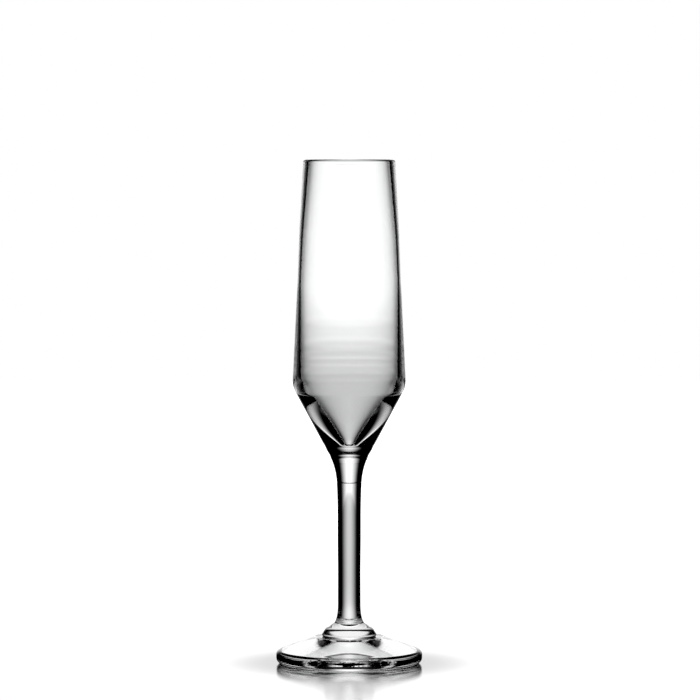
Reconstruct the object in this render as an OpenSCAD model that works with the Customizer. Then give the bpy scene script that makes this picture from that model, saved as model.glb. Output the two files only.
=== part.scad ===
// Champagne flute: a blown bowl, a drawn stem, a merese (the button of glass
// below the stem) and a foot, each a solid of revolution about +Z.
// The foot stands on z = 0 and the four pieces are fused face to face.

/* [Overall] */
// Height of the rim above the table
total_h = 255.5; // [248:0.5:262]
// Height of the fused face between bowl and stem
bowl_joint_h = 104; // [101:0.5:107]
// Height of the fused face between stem and merese
stem_joint_h = 20.4; // [20:0.1:21]
// Height of the fused face between merese and foot
merese_joint_h = 13.6; // [13.3:0.1:13.9]

/* [Bowl] */
// Outer radius just below the lip
rim_r = 23.3; // [22.6:0.1:24]
// Outer radius of the gentle swell in the upper wall
swell_r = 25.4; // [25:0.1:25.8]
// Height of the swell
swell_h = 218; // [212:1:224]
// Outer radius half way down the wall
waist_r = 26.3; // [26:0.1:26.6]
// Height where the wall starts to widen towards the shoulder
waist_h = 192; // [186:1:198]
// Outer radius at the shoulder, before it is rounded
shoulder_r = 28.8; // [28:0.1:29.6]
// Height of the shoulder
shoulder_h = 140.7; // [138:0.1:143]
// Radius that rounds the shoulder outside
shoulder_fillet = 10; // [6:0.5:12]
// Angle of the cone below the shoulder, from the vertical
cone_angle = 28.4; // [27:0.1:29]
// Radius of the sweep from cone to stem
neck_fillet = 36; // [30:1:42]

/* [Hollow] */
// Wall thickness under the lip
lip_wall = 2.8; // [1.8:0.1:3]
// Wall thickness at the swell
swell_wall = 1.9; // [1.2:0.1:2.4]
// Radius of the hollow from the waist down to its own shoulder
hollow_r = 24.65; // [23.95:0.1:25.05]
// Height of the hollow's shoulder, where its straight funnel begins
hollow_shoulder_h = 141; // [139:0.1:143.5]
// Radius that rounds the hollow's shoulder
hollow_fillet = 12.5; // [5:0.5:14]
// Height of the lowest point of the hollow
hollow_floor_h = 112.5; // [111.6:0.1:114]
// Radius that rounds the lowest point of the hollow
hollow_floor_fillet = 4.4; // [2:0.1:6.5]

/* [Stem] */
// Radius of the stem at its top, under the sweep
stem_top_r = 5.9; // [5.7:0.05:6.1]
// Radius of the stem at its thinnest, above the flare
stem_low_r = 5.74; // [5.4:0.02:5.84]
// Radius of the flared end on the merese
stem_end_r = 7.6; // [7.3:0.1:8]

/* [Merese] */
// Radius of the merese at its widest
merese_r = 13.9; // [13.6:0.1:14.2]
// Height of the merese's widest line
merese_rim_h = 14.6; // [14.4:0.1:14.9]
// Radius of the fused face under the merese
merese_foot_r = 13.5; // [13:0.1:13.5]

/* [Foot] */
// Radius of the foot
foot_r = 37.05; // [36:0.05:39]
// Thickness of the foot at its edge, before it is rounded
foot_edge_t = 6; // [5.7:0.1:6.6]
// Radius that rounds the edge of the foot above and below
edge_fillet = 2.8; // [1.5:0.1:2.8]
// Radius of the level collar where the cone of the foot begins
foot_top_r = 17.6; // [16.8:0.1:18.4]
// Radius where the flat standing ring gives way to the hollow underside
ring_r = 32.2; // [28:0.1:32.5]
// Radius that rounds the inside of the standing ring
ring_fillet = 3; // [1:0.5:6]
// Radius of the level middle of the underside
pontil_r = 10; // [8:0.5:13]
// Height of that middle above the table
pontil_h = 7.6; // [5:0.1:8]

/* [Hidden] */

glass = [0.86, 0.9, 0.9, 0.45];
$fn = 128;
arc_step = 4;          // degrees of turn between two points of a rounded corner
big = 2 * foot_r;      // wider than any piece

lip_proud = 0.12;      // how far the fire-polished lip stands out from the wall
lip_bead_h = 2.6;      // height of that bead
lip_bead_fillet = 6;
lip_fillet = (lip_wall + lip_proud) / 2 - 0.01;
inner_lip = [0.3, 0.45, 0.8];   // bevel inside the lip: width, depth, fillet
inner_lip_h = 2;       // the wall has its full thickness this far down
inner_lip_fillet = 10;
outer_wall_fillet = 300;        // bends of the gently curved walls
inner_swell_fillet = 150;
inner_waist_fillet = 200;

neck_flare = 0.85;     // how much wider than the stem the cone's corner is
neck_run = 16.5;       // length in which that corner narrows down to the stem
stem_fillet = 200;
neck_run_fillet = 340;
flare_h = 10;          // height of the flare at the foot of the stem

dome_r = 11.9;         // corner that shapes the dome of the merese
dome_drop = 2.6;
dome_fillet = 6;
merese_edge_fillet = 1;
foot_top_fillet = 4;   // softens the collar between merese and cone
pontil_fillet = 8;     // rounds the rim of the underside's level middle

// Height at which the cone would meet the stem if nothing rounded it.
neck_top_r = stem_top_r + neck_flare;
neck_h = shoulder_h - (shoulder_r - neck_top_r) / tan(cone_angle);

// ---- Outlines. A corner is [radius, height, fillet]; fillet 0 is sharp. ----

function xy(p) = [p.x, p.y];
function unit(v) = v / norm(v);
function turn(a, b) = (b - a + 540) % 360 - 180;

// Points of an arc about a centre, from one angle through a sweep.
function arc(centre, radius, start, sweep) =
    let (steps = max(2, ceil(abs(sweep) / arc_step)))
    [for (i = [0 : steps])
        let (t = start + sweep * i / steps)
        centre + radius * [cos(t), sin(t)]];

// The arc that rounds corner b between its neighbours a and c.
function corner_arc(a, b, c, fillet) =
    let (
        u = unit(xy(a) - xy(b)),
        v = unit(xy(c) - xy(b)),
        half = acos(max(-1, min(1, u * v))) / 2,
        centre = xy(b) + unit(u + v) * fillet / sin(half),
        from = xy(b) + u * fillet / tan(half) - centre,
        to = xy(b) + v * fillet / tan(half) - centre,
        start = atan2(from.y, from.x)
    )
    arc(centre, fillet, start, turn(start, atan2(to.y, to.x)));

function rounded(corners) = [
    for (i = [0 : len(corners) - 1])
        let (b = corners[i])
        each (i == 0 || i == len(corners) - 1 || b.z == 0)
            ? [xy(b)]
            : corner_arc(corners[i - 1], b, corners[i + 1], b.z)
];

// A smooth cubic curve between p0 and p3, steered by p1 and p2.
function bezier(p0, p1, p2, p3, steps = 12) = [
    for (i = [0 : steps])
        let (t = i / steps, s = 1 - t)
        s * s * s * p0 + 3 * s * s * t * p1 + 3 * s * t * t * p2 + t * t * t * p3
];

module lathe(outline) {
    rotate_extrude() polygon(outline);
}

// ---- Neck: one outline, cut at the fused face into bowl and stem ----

neck = [
    [shoulder_r, shoulder_h, shoulder_fillet],
    [neck_top_r, neck_h, neck_fillet],
    [stem_top_r, neck_h - neck_run, neck_run_fillet]
];

// ---- Bowl ----

bowl_outside = rounded(concat(
    [
        [0, total_h, 0],
        [rim_r + lip_proud, total_h, lip_fillet],
        [rim_r + lip_proud, total_h - lip_bead_h, lip_bead_fillet],
        [swell_r, swell_h, outer_wall_fillet],
        [waist_r, waist_h, outer_wall_fillet]
    ],
    neck,
    [
        [stem_top_r, stem_joint_h, 0],
        [0, stem_joint_h, 0]
    ]));

// The hollow: a wall that thickens downwards, a rounded shoulder, then a
// straight funnel that runs into a small round floor.
tip_h = hollow_floor_h + hollow_floor_fillet;
funnel = [hollow_r, hollow_shoulder_h - tip_h];
tip_angle = acos(hollow_floor_fillet / norm(funnel)) - atan2(funnel.y, funnel.x);
lip_r = rim_r - lip_wall;
above_h = total_h + 1;
hollow = concat(
    rounded([
        [0, above_h, 0],
        [lip_r + lip_fillet, above_h, 0],
        [lip_r + lip_fillet, total_h, 0],
        [lip_r + inner_lip[0], total_h - inner_lip[1], inner_lip[2]],
        [lip_r, total_h - inner_lip_h, inner_lip_fillet],
        [swell_r - swell_wall, swell_h, inner_swell_fillet],
        [hollow_r, waist_h, inner_waist_fillet],
        [hollow_r, hollow_shoulder_h, hollow_fillet],
        hollow_floor_fillet * [cos(tip_angle), -sin(tip_angle), 0] + [0, tip_h, 0]
    ]),
    arc([0, tip_h], hollow_floor_fillet, -tip_angle, tip_angle - 90)
);

module bowl() {
    color(glass)
        difference() {
            lathe(bowl_outside);
            lathe(hollow);
            cylinder(h = bowl_joint_h, r = big);
        }
}

// ---- Stem ----

stem_outside = concat(
    [[0, stem_joint_h]],
    bezier([stem_end_r, stem_joint_h], [stem_end_r - 1, stem_joint_h + 1.4],
        [stem_low_r, stem_joint_h + 4], [stem_low_r, stem_joint_h + flare_h]),
    rounded(concat(
        [
            [stem_low_r, stem_joint_h + flare_h, 0],
            [stem_low_r, stem_joint_h + 26, stem_fillet],
            [stem_top_r, stem_joint_h + 42, stem_fillet]
        ],
        [neck[2], neck[1], neck[0]],
        [[0, shoulder_h, 0]]))
);

module stem() {
    color(glass)
        intersection() {
            lathe(stem_outside);
            cylinder(h = bowl_joint_h, r = big);
        }
}

// ---- Merese ----

module merese() {
    color(glass)
        lathe(rounded([
            [0, stem_joint_h, 0],
            [stem_end_r, stem_joint_h, 0],
            [dome_r, stem_joint_h - dome_drop, dome_fillet],
            [merese_r, merese_rim_h, merese_edge_fillet],
            [merese_foot_r, merese_joint_h, 0],
            [0, merese_joint_h, 0]
        ]));
}

// ---- Foot ----

module foot() {
    color(glass)
        lathe(rounded([
            [0, merese_joint_h, 0],
            [foot_top_r, merese_joint_h, foot_top_fillet],
            [foot_r, foot_edge_t, edge_fillet],
            [foot_r, 0, edge_fillet],
            [ring_r, 0, ring_fillet],
            [pontil_r, pontil_h, pontil_fillet],
            [0, pontil_h, 0]
        ]));
}

bowl();
stem();
merese();
foot();
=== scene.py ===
"""Champagne flute: four fused pieces of clear blown glass on a pale floor.

Each piece is a lathe-turned mesh that stands for its CAD node. Lengths are in millimetres
in the outlines and in metres everywhere else. The outlines take their overall sizes from
the CAD frame, so the pieces stay inside it.
"""

import math

import bpy
import numpy as np
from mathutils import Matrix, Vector

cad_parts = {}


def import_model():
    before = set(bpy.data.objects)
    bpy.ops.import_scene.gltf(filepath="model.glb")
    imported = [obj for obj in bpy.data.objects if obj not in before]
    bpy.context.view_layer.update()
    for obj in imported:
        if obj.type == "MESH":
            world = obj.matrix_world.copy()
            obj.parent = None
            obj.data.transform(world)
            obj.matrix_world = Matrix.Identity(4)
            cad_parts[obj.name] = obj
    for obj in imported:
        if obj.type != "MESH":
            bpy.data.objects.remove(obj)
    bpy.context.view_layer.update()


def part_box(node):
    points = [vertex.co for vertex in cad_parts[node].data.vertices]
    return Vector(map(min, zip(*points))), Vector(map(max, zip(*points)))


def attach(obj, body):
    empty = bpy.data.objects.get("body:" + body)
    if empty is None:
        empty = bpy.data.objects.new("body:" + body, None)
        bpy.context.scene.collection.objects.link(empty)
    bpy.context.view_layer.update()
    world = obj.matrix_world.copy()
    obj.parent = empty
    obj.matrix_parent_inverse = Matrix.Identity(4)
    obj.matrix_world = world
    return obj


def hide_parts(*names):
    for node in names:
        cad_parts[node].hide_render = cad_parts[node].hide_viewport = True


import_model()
MM = 0.001
scene = bpy.context.scene


def top_of(node):
    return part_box(node)[1].z / MM


def radius_of(node):
    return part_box(node)[1].x / MM


# ---- Sizes, in millimetres ----

TOTAL_H = top_of("bowl")
BOWL_JOINT_H = top_of("stem")
STEM_JOINT_H = top_of("merese")
MERESE_JOINT_H = top_of("foot")
FOOT_R = radius_of("foot")

# Bowl, outside. The lip is a slightly proud bead.
RIM_R = 23.3
LIP_PROUD, LIP_BEAD_H, LIP_BEAD_FILLET = 0.12, 2.6, 6
SWELL_R, SWELL_H = 25.4, 218.0
WAIST_R, WAIST_H = 26.3, 192.0
WALL_FILLET = 300             # the bends at swell and waist
SHOULDER_R, SHOULDER_H, SHOULDER_FILLET = 28.8, 140.7, 10.0
CONE_ANGLE = math.radians(28.4)

# Bowl, inside.
LIP_WALL, SWELL_WALL = 2.8, 1.9
LIP_FLAT = 0.01               # half the level strip on top of the lip
LIP_FILLET = (LIP_WALL + LIP_PROUD) / 2 - LIP_FLAT
INNER_LIP_H, INNER_LIP_FILLET = 2, 10
INNER_SWELL_FILLET, INNER_WAIST_FILLET = 150, 200
HOLLOW_R, HOLLOW_SHOULDER_H, HOLLOW_FILLET = 24.65, 141.0, 12.5
TIP_H, TIP_FILLET = 112.5, 4.4

# Neck and stem.
STEM_TOP_R, STEM_LOW_R, STEM_END_R = 5.9, 5.74, 7.6
NECK_FLARE = 0.85             # how much wider than the stem the cone's corner is
NECK_TOP_R = STEM_TOP_R + NECK_FLARE
NECK_H = SHOULDER_H - (SHOULDER_R - NECK_TOP_R) / math.tan(CONE_ANGLE)
NECK_FILLET = 36.0
NECK_RUN, NECK_RUN_FILLET = 16.5, 340         # length in which the neck narrows to the stem
SHOULDER_LEAD = 9             # the stem's outline starts this far above the shoulder
STEM_FULL_H, STEM_THIN_H, STEM_FILLET = 42, 26, 200   # heights above the stem's lower end
FLARE_H, FLARE_BEND_H = 10.0, 4
FLARE_TOE_R, FLARE_TOE_H = 1, 1.4

# Merese and foot.
DOME_R, DOME_DROP, DOME_FILLET = 11.9, 2.6, 6
MERESE_R, MERESE_RIM_H, MERESE_RIM_FILLET = 13.9, 14.6, 1
MERESE_FOOT_R = 13.5
FOOT_TOP_R, FOOT_TOP_FILLET = 17.6, 4
FOOT_EDGE_T, EDGE_FILLET = 6.0, 2.8
RING_R, RING_FILLET = 32.2, 3.0
PONTIL_R, PONTIL_H, PONTIL_FILLET = 10.0, 7.6, 8.0

TURNS = 224           # points round each turned circle
STEP = 1.2            # longest stretch of outline between two of its points
ARC_STEP = math.radians(2.0)
RING_STEP = 0.35      # the same, where faint rings cross the outline
RING_REACH = 3        # how many half widths a faint ring is drawn over
AXIS_CLEAR = 5        # faint rings stop this far from the axis
CLOSE = 1e-6          # points nearer than this count as one

# Faint rings that blowing and drawing left in the glass: height, half width, rise of the surface.
HOLLOW_RINGS = ((172.5, 1.8, 0.009), (161.2, 1.9, 0.019), (155.6, 1.3, 0.011),
                (152.0, 1.1, 0.009), (147.3, 1.6, 0.018), (140.4, 1.4, 0.009))
NECK_RINGS = ((110.6, 1.0, -0.10), (108.2, 0.9, 0.11), (105.9, 0.8, -0.10), (103.7, 0.7, 0.07))


# ---- Outlines ----

def unit(v):
    return v / np.linalg.norm(v)


def arc(centre, radius, start, sweep):
    steps = max(2, math.ceil(abs(sweep) / ARC_STEP), math.ceil(abs(sweep) * radius / STEP))
    t = start + sweep * np.linspace(0, 1, steps + 1)
    return [np.array(centre) + radius * np.array([math.cos(a), math.sin(a)]) for a in t]


def corner_arc(a, b, c, fillet):
    """The arc that rounds corner b between its neighbours a and c."""
    u, v = unit(a - b), unit(c - b)
    half = math.acos(max(-1.0, min(1.0, float(u @ v)))) / 2
    centre = b + unit(u + v) * fillet / math.sin(half)
    start = b + u * fillet / math.tan(half) - centre
    end = b + v * fillet / math.tan(half) - centre
    first = math.atan2(start[1], start[0])
    turn = (math.atan2(end[1], end[0]) - first + 3 * math.pi) % (2 * math.pi) - math.pi
    return arc(centre, fillet, first, turn)


def rounded(corners):
    """An outline through corners of (radius, height, fillet)."""
    at = [np.array(c[:2], float) for c in corners]
    line = []
    for i, (_, _, fillet) in enumerate(corners):
        inner = 0 < i < len(corners) - 1 and fillet > 0
        line += corner_arc(at[i - 1], at[i], at[i + 1], fillet) if inner else [at[i]]
    return line


def bezier(p0, p1, p2, p3, steps=14):
    p0, p1, p2, p3 = (np.array(p, float) for p in (p0, p1, p2, p3))
    curve = []
    for t in np.linspace(0, 1, steps + 1):
        s = 1 - t
        curve.append(s**3 * p0 + 3 * s * s * t * p1 + 3 * s * t * t * p2 + t**3 * p3)
    return curve


def filled(line):
    """The same outline with points added on long straight runs, and no point twice."""
    full = [line[0]]
    for p in line[1:]:
        gap = np.linalg.norm(p - full[-1])
        if gap < CLOSE:
            continue
        cuts = max(1, math.ceil(gap / STEP))
        start = full[-1]
        full += [start + (p - start) * k / cuts for k in range(1, cuts + 1)]
    return full


def cut_below(line, height):
    """The part of a falling outline above a height. It ends exactly on that height."""
    kept = []
    for p, q in zip(line, line[1:]):
        kept.append(p)
        if p[1] > height >= q[1]:
            kept.append(p + (q - p) * (p[1] - height) / (p[1] - q[1]))
            return kept
    return kept


def ringed(line, rings):
    """An outline with faint rings, and with points close enough together to draw them."""
    low = min(h - RING_REACH * w for h, w, _ in rings)
    high = max(h + RING_REACH * w for h, w, _ in rings)
    fine = [line[0]]
    for p in line[1:]:
        start = fine[-1]
        touched = min(start[1], p[1]) < high and max(start[1], p[1]) > low
        cuts = math.ceil(np.linalg.norm(p - start) / RING_STEP) if touched else 1
        fine += [start + (p - start) * k / cuts for k in range(1, max(1, cuts) + 1)]
    rise = [sum(d * math.exp(-((p[1] - h) / w) ** 2) for h, w, d in rings) for p in fine]
    return [p + np.array([up, 0.0]) if p[0] > AXIS_CLEAR else p for p, up in zip(fine, rise)]


# The neck: one outline, cut at the fused face into bowl and stem.
NECK = [
    (SHOULDER_R, SHOULDER_H, SHOULDER_FILLET),
    (NECK_TOP_R, NECK_H, NECK_FILLET),
    (STEM_TOP_R, NECK_H - NECK_RUN, NECK_RUN_FILLET),
]


def bowl_outside():
    return rounded([
        (RIM_R + LIP_PROUD - LIP_FILLET, TOTAL_H, 0),
        (RIM_R + LIP_PROUD, TOTAL_H, LIP_FILLET),
        (RIM_R + LIP_PROUD, TOTAL_H - LIP_BEAD_H, LIP_BEAD_FILLET),
        (SWELL_R, SWELL_H, WALL_FILLET),
        (WAIST_R, WAIST_H, WALL_FILLET),
        *NECK,
        (STEM_TOP_R, STEM_JOINT_H, 0),
    ])


def bowl_inside():
    """The hollow, from the lip down to its lowest point."""
    tip = np.array([0.0, TIP_H + TIP_FILLET])
    corner = np.array([HOLLOW_R, HOLLOW_SHOULDER_H]) - tip
    tip_angle = math.acos(TIP_FILLET / np.linalg.norm(corner)) - math.atan2(corner[1], corner[0])
    tangent = tip + TIP_FILLET * np.array([math.cos(tip_angle), -math.sin(tip_angle)])
    wall_r = RIM_R - LIP_WALL
    return rounded([
        (wall_r + LIP_FILLET, TOTAL_H, 0),
        (wall_r, TOTAL_H, LIP_FILLET - 2 * LIP_FLAT),
        (wall_r, TOTAL_H - INNER_LIP_H, INNER_LIP_FILLET),
        (SWELL_R - SWELL_WALL, SWELL_H, INNER_SWELL_FILLET),
        (HOLLOW_R, WAIST_H, INNER_WAIST_FILLET),
        (HOLLOW_R, HOLLOW_SHOULDER_H, HOLLOW_FILLET),
        (*tangent, 0),
    ]) + arc(tip, TIP_FILLET, -tip_angle, tip_angle - math.pi / 2)


def stem_outside():
    top = rounded([(SHOULDER_R, SHOULDER_H + SHOULDER_LEAD, 0), *NECK,
                   (STEM_TOP_R, STEM_JOINT_H + STEM_FULL_H, STEM_FILLET),
                   (STEM_LOW_R, STEM_JOINT_H + STEM_THIN_H, STEM_FILLET),
                   (STEM_LOW_R, STEM_JOINT_H + FLARE_H, 0)])
    start = cut_below(top, BOWL_JOINT_H)[-1]
    below = [start] + [p for p in top if p[1] < BOWL_JOINT_H - CLOSE]
    flare = bezier((STEM_LOW_R, STEM_JOINT_H + FLARE_H), (STEM_LOW_R, STEM_JOINT_H + FLARE_BEND_H),
                   (STEM_END_R - FLARE_TOE_R, STEM_JOINT_H + FLARE_TOE_H),
                   (STEM_END_R, STEM_JOINT_H))
    return below + flare[1:]


# ---- Meshes ----

def lathe(name, line, closed_by=(), before=None, after=None):
    """A mesh turned from an outline that runs from a cap or the axis to a cap or the axis.

    A ring at the axis becomes one point. closed_by holds "start" or "end" where a flat
    disc, the fused face, closes the piece there. before and after are the outline's next
    points beyond its ends, where it goes on in another piece, so the shading goes on too.
    """
    line = filled(line)
    verts, faces, rings, normals = [], [], [], []
    angles = np.arange(TURNS) * 2 * math.pi / TURNS
    path = [line[0] if before is None else before, *line, line[-1] if after is None else after]
    for (r, h), last, following in zip(line, path, path[2:]):
        along = np.zeros(2)
        for p, q in ((last, (r, h)), ((r, h), following)):
            run = np.array(q) - np.array(p)
            if np.linalg.norm(run) > CLOSE:
                along += unit(run)
        along = unit(along)
        out_r, out_h = -along[1], along[0]
        if r < CLOSE:
            rings.append([len(verts)])
            verts.append((0.0, 0.0, h))
            normals.append((0.0, 0.0, math.copysign(1, out_h)))
            continue
        rings.append(list(range(len(verts), len(verts) + TURNS)))
        verts += [(r * math.cos(a), r * math.sin(a), h) for a in angles]
        normals += [(out_r * math.cos(a), out_r * math.sin(a), out_h) for a in angles]
    for above, below in zip(rings, rings[1:]):
        for k in range(TURNS):
            n = (k + 1) % TURNS
            if len(above) == 1:
                faces.append((above[0], below[k], below[n]))
            elif len(below) == 1:
                faces.append((above[k], below[0], above[n]))
            else:
                faces.append((above[k], below[k], below[n], above[n]))
    discs = {}
    for end, ring, up in (("start", rings[0], 1.0), ("end", rings[-1], -1.0)):
        if end in closed_by:
            discs[len(faces)] = (0.0, 0.0, up)
            faces.append(tuple(ring if up > 0 else reversed(ring)))
    mesh = bpy.data.meshes.new(name)
    mesh.from_pydata([Vector(v) * MM for v in verts], [], faces)
    mesh.update()
    obj = bpy.data.objects.new(name, mesh)
    scene.collection.objects.link(obj)
    shade = []
    sharp = set()
    for p in mesh.polygons:
        p.use_smooth = True
        p.material_index = 1 if p.index in discs else 0
        if p.index in discs:
            sharp.update(p.edge_keys)
        shade += [discs.get(p.index) or normals[v] for v in p.vertices]
    for edge in mesh.edges:
        edge.use_edge_sharp = edge.key in sharp
    mesh.normals_split_custom_set(shade)
    return obj


# ---- Materials ----

def node(tree, kind, **inputs):
    made = tree.nodes.new(kind)
    for key, value in inputs.items():
        made.inputs[key.replace("_", " ")].default_value = value
    return made


GLASS_TINT = (0.992, 0.997, 0.995, 1)
GLASS_IOR = 1.5
WAVER_SCALE, WAVER_DEPTH = 70, 0.000012     # slow unevenness of hand-blown glass
SEAM_SCALE, SEAM_DEPTH = 520, 0.00012       # where merese and foot were pressed together
SEAM_REACH = 0.0007                         # how far the seam is rough, up and down


def math_node(tree, operation, a, b=None, c=None):
    made = tree.nodes.new("ShaderNodeMath")
    made.operation = operation
    for slot, value in enumerate((a, b, c)):
        if value is None:
            continue
        if isinstance(value, (int, float)):
            made.inputs[slot].default_value = value
        else:
            tree.links.new(value, made.inputs[slot])
    return made.outputs[0]


def ramp(tree, value, low, high):
    """Smoothly 0 below low and 1 above high."""
    made = tree.nodes.new("ShaderNodeMapRange")
    made.interpolation_type = "SMOOTHSTEP"
    made.inputs["From Min"].default_value = low
    made.inputs["From Max"].default_value = high
    if low > high:
        made.inputs["From Min"].default_value = high
        made.inputs["From Max"].default_value = low
        made.inputs["To Min"].default_value = 1
        made.inputs["To Max"].default_value = 0
    tree.links.new(value, made.inputs["Value"])
    return made.outputs["Result"]


def unevenness(tree, where, scale, depth):
    """A noise of the given number of bumps to the metre, as a height in metres."""
    noise = node(tree, "ShaderNodeTexNoise", Scale=scale, Detail=1.0)
    tree.links.new(where, noise.inputs["Vector"])
    return math_node(tree, "MULTIPLY", noise.outputs["Fac"], depth)


def new_material(name):
    mat = bpy.data.materials.new(name)
    mat.use_nodes = True
    return mat


def clear_glass():
    mat = new_material("clear_glass")
    tree = mat.node_tree
    shader = tree.nodes["Principled BSDF"]
    shader.inputs["Base Color"].default_value = GLASS_TINT
    shader.inputs["Transmission Weight"].default_value = 1.0
    shader.inputs["Roughness"].default_value = 0.0
    shader.inputs["IOR"].default_value = GLASS_IOR
    where = tree.nodes.new("ShaderNodeTexCoord").outputs["Object"]
    slow = unevenness(tree, where, WAVER_SCALE, WAVER_DEPTH)
    split = tree.nodes.new("ShaderNodeSeparateXYZ")
    tree.links.new(where, split.inputs[0])
    from_seam = math_node(tree, "SUBTRACT", split.outputs["Z"], MERESE_JOINT_H * MM)
    near_seam = ramp(tree, math_node(tree, "ABSOLUTE", from_seam), SEAM_REACH, 0.0)
    seam = unevenness(tree, where, SEAM_SCALE, SEAM_DEPTH)
    height = math_node(tree, "MULTIPLY_ADD", seam, near_seam, slow)
    bump = node(tree, "ShaderNodeBump", Strength=1.0, Distance=1.0)
    tree.links.new(height, bump.inputs["Height"])
    tree.links.new(bump.outputs["Normal"], shader.inputs["Normal"])
    return mat


def fused_face():
    """The inside of a fused joint, where the glass simply goes on: nothing shows."""
    mat = new_material("fused_face")
    shader = mat.node_tree.nodes["Principled BSDF"]
    shader.inputs["Alpha"].default_value = 0.0
    shader.inputs["Roughness"].default_value = 1.0
    shader.inputs["Specular IOR Level"].default_value = 0.0
    return mat


glass = clear_glass()
fused = fused_face()


def finish_piece(obj, node_name):
    obj.data.materials.append(glass)
    obj.data.materials.append(fused)
    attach(obj, "root")
    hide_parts(node_name)


# ---- The four pieces ----

def make_bowl():
    outside = ringed(cut_below(bowl_outside(), BOWL_JOINT_H), NECK_RINGS)
    inside = ringed(bowl_inside(), HOLLOW_RINGS)
    below = ringed(stem_outside(), NECK_RINGS)[1]
    piece = lathe("blown_bowl", inside[::-1] + outside, ("end",), after=below)
    finish_piece(piece, "bowl")


def make_stem():
    above = ringed(cut_below(bowl_outside(), BOWL_JOINT_H), NECK_RINGS)[-2]
    line = ringed(stem_outside(), NECK_RINGS)
    piece = lathe("drawn_stem", line, ("start", "end"), before=above)
    finish_piece(piece, "stem")


def make_merese():
    line = rounded([
        (STEM_END_R, STEM_JOINT_H, 0),
        (DOME_R, STEM_JOINT_H - DOME_DROP, DOME_FILLET),
        (MERESE_R, MERESE_RIM_H, MERESE_RIM_FILLET),
        (MERESE_FOOT_R, MERESE_JOINT_H, 0),
    ])
    finish_piece(lathe("merese_button", line, ("start", "end")), "merese")


def make_foot():
    line = rounded([
        (MERESE_FOOT_R, MERESE_JOINT_H, 0),
        (FOOT_TOP_R, MERESE_JOINT_H, FOOT_TOP_FILLET),
        (FOOT_R, FOOT_EDGE_T, EDGE_FILLET),
        (FOOT_R, 0, EDGE_FILLET),
        (RING_R, 0, RING_FILLET),
        (PONTIL_R, PONTIL_H, PONTIL_FILLET),
        (0, PONTIL_H, 0),
    ])
    finish_piece(lathe("blown_foot", line, ("start",)), "foot")


make_bowl()
make_stem()
make_merese()
make_foot()

# ---- Camera ----

CAMERA_DISTANCE, CAMERA_SIDE = 1.963, 0.0004
CAMERA_HEIGHT = TOTAL_H * MM  # level with the rim, which is seen edge on
AIM_HEIGHT = 0.1591
FOCAL_LENGTH, SENSOR_WIDTH = 199.6, 36.0      # mm
camera_data = bpy.data.cameras.new("camera")
camera_data.lens = FOCAL_LENGTH
camera_data.sensor_width = SENSOR_WIDTH
camera = bpy.data.objects.new("camera", camera_data)
camera.location = (CAMERA_SIDE, -CAMERA_DISTANCE, CAMERA_HEIGHT)
tilt = math.atan2(CAMERA_HEIGHT - AIM_HEIGHT, CAMERA_DISTANCE)
camera.rotation_euler = (math.radians(90) - tilt, 0, 0)
scene.collection.objects.link(camera)
scene.camera = camera

# ---- Stage ----

# The set turns with the camera, as when the glass stands on a turntable: this empty follows
# the camera round, and the floor and the wall take their shading from it. So their shading
# depends on where the camera stands. The glass's own material doesn't.
studio = bpy.data.objects.new("studio", None)
scene.collection.objects.link(studio)
turn = studio.constraints.new("LOCKED_TRACK")
turn.target = camera
turn.track_axis = "TRACK_NEGATIVE_Y"
turn.lock_axis = "LOCK_Z"

# The set is bright straight behind the glass and falls off to black at both sides.
HALF = math.radians(15)           # half width of the bright part, where it is half as bright
SOFT = math.radians(14)           # and how gently it falls off about there
SWEEP = math.radians(27)          # how far round the white comes forward, see level()

# Distances from the axis, in metres, between which a tone changes smoothly.
BRIGHTENS = (1.4, 2.12)           # the grey turns to white
NEAR = (0.40, 0.04)               # the floor's painted light brightens towards the glass
GREYS = (0.9, 1.4)                # the grey gets its far tone
UNDER_REACH = (0.055, 0.040)      # the painted light on the floor under the foot begins
UNDER_SIDES = (0.018, 0.006)      # and goes black again, to left and right of the middle
LIT_NEAR = (0.038, 0.080)         # the floor that the camera sees comes out of the foot's painted shadow
LIT_FAR = (0.2, 0.5)              # and its painted glow gets its full white

# How bright the set glows. On the wall that is its light; on the floor it is painted light and
# shade, which the glass sees.
WALL_WHITE = 1.27
FLOOR_GREY = 0.67
FAR_GREY = 0.76
NEAR_WHITE = 0.98
UNDER_FOOT_PAINTED_LIGHT = 0.30                 # painted light on the floor under the foot, as the glass shows it
FLOOR_LIT = 0.45                  # the part of the floor's painted glow that is there close to the foot
SATIN, SATIN_ROUGHNESS = 0.60, 0.14           # how strongly the floor mirrors the set
FLOOR_Z = -0.0002

SHELL_R, SHELL_TOP, SHELL_FOOT = 2.5, 3.0, -0.0005
WALL_FADE = (2.2, 1.2)            # heights between which the wall's light comes up from black
CLIMB = 3.0                       # a metre up the wall counts as this much distance
SIDES = 96                        # of the round floor and wall
BOUNCES = 32                      # enough for light to get through all the faces of the glass


def on_stage(obj):
    scene.collection.objects.link(obj)
    obj.parent = studio
    return obj


def studio_azimuth(tree):
    """How far round a point on the set is from straight behind the glass, and its place."""
    where = tree.nodes.new("ShaderNodeTexCoord")
    where.object = studio
    split = tree.nodes.new("ShaderNodeSeparateXYZ")
    tree.links.new(where.outputs["Object"], split.inputs[0])
    angle = math_node(tree, "ARCTAN2", split.outputs["X"], split.outputs["Y"])
    return math_node(tree, "ABSOLUTE", angle), split


def camera_or_glass(tree, to_camera, to_glass):
    """One shader where the camera looks straight at a thing, and another for all other rays."""
    path = tree.nodes.new("ShaderNodeLightPath")
    pick = tree.nodes.new("ShaderNodeMixShader")
    tree.links.new(path.outputs["Is Camera Ray"], pick.inputs[0])
    tree.links.new(to_glass, pick.inputs[1])
    tree.links.new(to_camera, pick.inputs[2])
    return pick.outputs[0]


def stage_material(name, build):
    mat = new_material(name)
    tree = mat.node_tree
    tree.nodes.clear()
    out = tree.nodes.new("ShaderNodeOutputMaterial")
    build(tree, out)
    return mat


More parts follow.
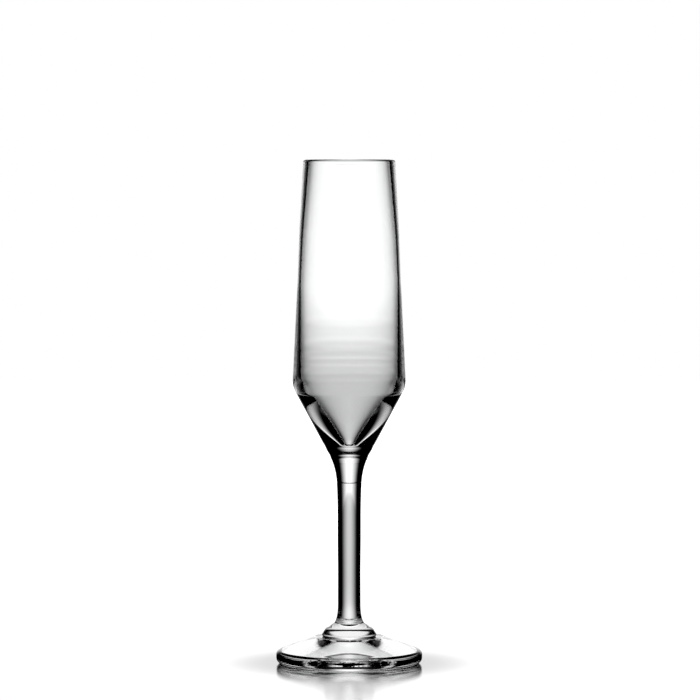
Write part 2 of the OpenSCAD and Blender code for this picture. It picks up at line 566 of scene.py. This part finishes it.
def fall_off(tree, azimuth):
    return ramp(tree, azimuth, HALF + SOFT, HALF - SOFT)


def level(tree, distance, azimuth):
    """Grey with distance, white beyond, and the edge of the white comes forward at the sides."""
    round_by = math_node(tree, "DIVIDE", azimuth, SWEEP)
    forward = math_node(tree, "MULTIPLY_ADD", round_by, round_by, 1.0)
    far = ramp(tree, math_node(tree, "MULTIPLY", distance, forward), *BRIGHTENS)
    grey = math_node(tree, "MULTIPLY_ADD", ramp(tree, distance, *GREYS),
                     FAR_GREY - FLOOR_GREY, FLOOR_GREY)
    grey = math_node(tree, "MULTIPLY_ADD", ramp(tree, distance, *NEAR),
                     NEAR_WHITE - FLOOR_GREY, grey)
    return math_node(tree, "MULTIPLY_ADD", far, WALL_WHITE - FAR_GREY, grey)


def shell_look(tree, out):
    azimuth, at = studio_azimuth(tree)
    height = at.outputs["Z"]
    distance = math_node(tree, "MULTIPLY_ADD", height, CLIMB, SHELL_R)
    lit = math_node(tree, "MULTIPLY", fall_off(tree, azimuth), level(tree, distance, azimuth))
    strength = math_node(tree, "MULTIPLY", lit, ramp(tree, height, *WALL_FADE))
    glow = tree.nodes.new("ShaderNodeEmission")
    tree.links.new(strength, glow.inputs["Strength"])
    tree.links.new(glow.outputs[0], out.inputs["Surface"])


def circle_at(height):
    turns = [2 * math.pi * k / SIDES for k in range(SIDES)]
    return [(SHELL_R * math.sin(t), SHELL_R * math.cos(t), height) for t in turns]


def shell():
    """A round wall about the glass, with a lid, seen through the glass but not by the camera."""
    verts = circle_at(SHELL_FOOT) + circle_at(SHELL_TOP) + [(0, 0, SHELL_TOP)]
    faces = []
    for k in range(SIDES):
        following = (k + 1) % SIDES
        faces.append((k, following, SIDES + following, SIDES + k))
        faces.append((SIDES + k, SIDES + following, 2 * SIDES))
    mesh = bpy.data.meshes.new("studio_wall")
    mesh.from_pydata(verts, [], faces)
    mesh.materials.append(stage_material("studio_wall", shell_look))
    wall = on_stage(bpy.data.objects.new("studio_wall", mesh))
    wall.visible_camera = False
    wall.visible_shadow = False


def floor_look(tree, out):
    """Painted white glow with painted shade, and a little satin, to the camera; through the glass,
    grey painted glow and shade.
    """
    azimuth, at = studio_azimuth(tree)
    reach = tree.nodes.new("ShaderNodeVectorMath")
    reach.operation = "LENGTH"
    tree.links.new(at.inputs[0].links[0].from_socket, reach.inputs[0])
    distance = reach.outputs["Value"]
    behind = math_node(tree, "MULTIPLY", fall_off(tree, azimuth),
                       level(tree, distance, azimuth))
    # A painted patch of light on the floor under the foot, for the glass, black to left and right
    # of the middle.
    beside = math_node(tree, "ABSOLUTE", at.outputs["X"])
    under = math_node(tree, "MULTIPLY", ramp(tree, beside, *UNDER_SIDES),
                      ramp(tree, distance, *UNDER_REACH))
    under = math_node(tree, "MULTIPLY", under, UNDER_FOOT_PAINTED_LIGHT)
    seen = tree.nodes.new("ShaderNodeEmission")
    tree.links.new(math_node(tree, "MAXIMUM", behind, under), seen.inputs["Strength"])
    # To the camera the floor's white is a painted glow, held down close to the foot as a painted
    # shadow.
    lit = tree.nodes.new("ShaderNodeEmission")
    near = math_node(tree, "MULTIPLY", ramp(tree, distance, *LIT_NEAR), FLOOR_LIT)
    far = math_node(tree, "MULTIPLY", ramp(tree, distance, *LIT_FAR), 1 - FLOOR_LIT)
    tree.links.new(math_node(tree, "ADD", near, far), lit.inputs["Strength"])
    satin = node(tree, "ShaderNodeBsdfAnisotropic", Roughness=SATIN_ROUGHNESS,
                 Color=(SATIN, SATIN, SATIN, 1))
    both = tree.nodes.new("ShaderNodeAddShader")
    tree.links.new(satin.outputs[0], both.inputs[0])
    tree.links.new(lit.outputs[0], both.inputs[1])
    surface = camera_or_glass(tree, both.outputs[0], seen.outputs[0])
    tree.links.new(surface, out.inputs["Surface"])


def floor():
    """A round floor that ends at the wall."""
    mesh = bpy.data.meshes.new("floor")
    mesh.from_pydata(circle_at(FLOOR_Z), [], [tuple(reversed(range(SIDES)))])
    mesh.materials.append(stage_material("floor", floor_look))
    on_stage(bpy.data.objects.new("floor", mesh))


def world():
    """White behind the set for the camera, and black for the glass."""
    made = bpy.data.worlds.new("world")
    scene.world = made
    made.use_nodes = True
    tree = made.node_tree
    dark = tree.nodes["Background"]
    dark.inputs["Strength"].default_value = 0.0
    white = node(tree, "ShaderNodeBackground", Color=(1, 1, 1, 1), Strength=1.0)
    surface = camera_or_glass(tree, white.outputs[0], dark.outputs[0])
    tree.links.new(surface, tree.nodes["World Output"].inputs["Surface"])


def softbox(name, size, power, location, aim):
    data = bpy.data.lights.new(name, "AREA")
    data.shape = "RECTANGLE"
    data.size, data.size_y = size
    data.energy = power
    light = on_stage(bpy.data.objects.new(name, data))
    light.location = location
    light.rotation_euler = (Vector(aim) - Vector(location)).to_track_quat("-Z", "Y").to_euler()
    light.visible_camera = False
    light.visible_glossy = False
    light.visible_transmission = False


shell()
floor()
world()
softbox("overhead", size=(1.6, 1.6), power=40, location=(0, 0.2, 1.8), aim=(0, 0, 0))

scene.view_settings.view_transform = "Standard"
scene.cycles.max_bounces = BOUNCES
scene.cycles.transmission_bounces = BOUNCES
